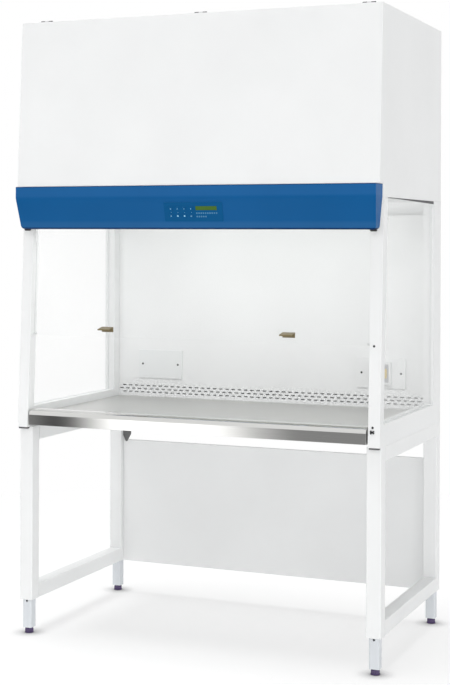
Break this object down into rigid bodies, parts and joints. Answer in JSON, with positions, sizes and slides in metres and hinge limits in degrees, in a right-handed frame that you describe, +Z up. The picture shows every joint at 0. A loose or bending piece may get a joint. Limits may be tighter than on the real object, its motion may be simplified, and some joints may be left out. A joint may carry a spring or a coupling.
{
  "type": "ductless fume hood on stand",
  "caption": "Ductless filter hood with glazed sides, hinged clear sash, slanted filter head and blue control fascia, on an adjustable tube stand.",
  "frame": {"origin": "on the floor, under the middle of the whole", "axes": "+X to the right seen from the front, +Y to the back, +Z up"},
  "size_m": [1.34, 0.7982, 2.1863],
  "materials": {
    "white_paint": "smooth satin powder coat",
    "leg_paint": "pale blue-grey satin coat",
    "stainless": "fine brushed",
    "zinc": "bright zinc plate",
    "foot_plastic": "glossy",
    "black_plastic": "fine grain",
    "black_rubber": "matt",
    "clear_pane": "clear, polished",
    "bronze": "satin olive bronze",
    "blue_paint": "satin",
    "panel_film": "satin film",
    "key_film": "satin film",
    "screen": "clear window over olive",
    "circuit_board": "solder mask",
    "outlet_plastic": "smooth",
    "insert_plastic": "smooth",
    "filter_media": "pleated media",
    "carbon": "matt casing",
    "lamp_white": "opal"
  },
  "bodies": {
    "root": {"stand_side_left": "white_paint", "stand_side_right": "white_paint", "stand_rear_rail": "white_paint", "stand_rear_panel": "white_paint", "leg_clamp_screws": "zinc", "base_pan": "white_paint", "worktop": "stainless", "side_frame_left": "white_paint", "side_frame_right": "white_paint", "side_window_left": "clear_pane", "side_window_right": "clear_pane", "rear_panel": "white_paint", "baffle": "white_paint", "service_plate_left": "white_paint", "service_plate_right": "white_paint", "plate_screws": "black_plastic", "outlet_frame": "outlet_plastic", "outlet_insert": "insert_plastic", "sash_pivots": "zinc", "sash_stops": "black_rubber", "post_plugs": "black_plastic", "hose_clip": "black_plastic", "hood_shell": "white_paint", "door_hinge_fixed": "zinc", "door_hinge_pins": "zinc", "fascia": "blue_paint", "fascia_screws": "black_plastic", "control_panel": "panel_film", "display": "screen", "control_board": "circuit_board", "filter_shelf": "white_paint", "pre_filter": "filter_media", "carbon_filter": "carbon", "blower_housing": "zinc", "motor": "black_plastic", "exhaust_grille": "white_paint", "lamp": "lamp_white", "power_inlet": "black_plastic"},
    "door": {"service_door": "white_paint", "door_hinge_moving": "zinc"},
    "sash": {"sash": "clear_pane", "sash_rail": "stainless", "sash_handles": "bronze"},
    "fan": {"impeller": "stainless"},
    "leg_front_left": {"leg_front_left": "leg_paint"},
    "foot_front_left": {"foot_front_left": "foot_plastic"},
    "leg_front_right": {"leg_front_right": "leg_paint"},
    "foot_front_right": {"foot_front_right": "foot_plastic"},
    "leg_rear_left": {"leg_rear_left": "leg_paint"},
    "foot_rear_left": {"foot_rear_left": "foot_plastic"},
    "leg_rear_right": {"leg_rear_right": "leg_paint"},
    "foot_rear_right": {"foot_rear_right": "foot_plastic"},
    "key_1": {"key_1": "key_film"},
    "key_2": {"key_2": "key_film"},
    "key_3": {"key_3": "key_film"},
    "key_4": {"key_4": "key_film"},
    "key_5": {"key_5": "key_film"},
    "key_6": {"key_6": "key_film"},
    "key_7": {"key_7": "key_film"},
    "key_8": {"key_8": "key_film"}
  },
  "joints": [
    {"name": "door_hinge", "type": "hinge", "parent": "root", "child": "door", "pos_m": [0.018, -0.32544, 2.1833], "axis": [-1, 0, 0], "range_deg": [0, 75]},
    {"name": "sash_hinge", "type": "hinge", "parent": "root", "child": "sash", "pos_m": [0, -0.31754, 1.453], "axis": [-1, 0, 0], "range_deg": [0, 65]},
    {"name": "fan_spin", "type": "hinge", "parent": "root", "child": "fan", "pos_m": [0, 0.0241, 2.077], "axis": [0, 0, 1], "continuous": true},
    {"name": "leg_front_left_slide", "type": "slide", "parent": "root", "child": "leg_front_left", "axis": [0, 0, -1], "range_m": [0, 0.125]},
    {"name": "foot_front_left_screw", "type": "slide", "parent": "leg_front_left", "child": "foot_front_left", "axis": [0, 0, -1], "range_m": [0, 0.025]},
    {"name": "leg_front_right_slide", "type": "slide", "parent": "root", "child": "leg_front_right", "axis": [0, 0, -1], "range_m": [0, 0.125]},
    {"name": "foot_front_right_screw", "type": "slide", "parent": "leg_front_right", "child": "foot_front_right", "axis": [0, 0, -1], "range_m": [0, 0.025]},
    {"name": "leg_rear_left_slide", "type": "slide", "parent": "root", "child": "leg_rear_left", "axis": [0, 0, -1], "range_m": [0, 0.125]},
    {"name": "foot_rear_left_screw", "type": "slide", "parent": "leg_rear_left", "child": "foot_rear_left", "axis": [0, 0, -1], "range_m": [0, 0.025]},
    {"name": "leg_rear_right_slide", "type": "slide", "parent": "root", "child": "leg_rear_right", "axis": [0, 0, -1], "range_m": [0, 0.125]},
    {"name": "foot_rear_right_screw", "type": "slide", "parent": "leg_rear_right", "child": "foot_rear_right", "axis": [0, 0, -1], "range_m": [0, 0.025]},
    {"name": "key_1_press", "type": "slide", "parent": "root", "child": "key_1", "axis": [0, 0.968, 0.251], "range_m": [0, 0.0008], "stiffness_N_per_m": 1500, "springref_m": -0.0004},
    {"name": "key_2_press", "type": "slide", "parent": "root", "child": "key_2", "axis": [0, 0.968, 0.251], "range_m": [0, 0.0008], "stiffness_N_per_m": 1500, "springref_m": -0.0004},
    {"name": "key_3_press", "type": "slide", "parent": "root", "child": "key_3", "axis": [0, 0.968, 0.251], "range_m": [0, 0.0008], "stiffness_N_per_m": 1500, "springref_m": -0.0004},
    {"name": "key_4_press", "type": "slide", "parent": "root", "child": "key_4", "axis": [0, 0.968, 0.251], "range_m": [0, 0.0008], "stiffness_N_per_m": 1500, "springref_m": -0.0004},
    {"name": "key_5_press", "type": "slide", "parent": "root", "child": "key_5", "axis": [0, 0.968, 0.251], "range_m": [0, 0.0008], "stiffness_N_per_m": 1500, "springref_m": -0.0004},
    {"name": "key_6_press", "type": "slide", "parent": "root", "child": "key_6", "axis": [0, 0.968, 0.251], "range_m": [0, 0.0008], "stiffness_N_per_m": 1500, "springref_m": -0.0004},
    {"name": "key_7_press", "type": "slide", "parent": "root", "child": "key_7", "axis": [0, 0.968, 0.251], "range_m": [0, 0.0008], "stiffness_N_per_m": 1500, "springref_m": -0.0004},
    {"name": "key_8_press", "type": "slide", "parent": "root", "child": "key_8", "axis": [0, 0.968, 0.251], "range_m": [0, 0.0008], "stiffness_N_per_m": 1500, "springref_m": -0.0004}
  ]
}
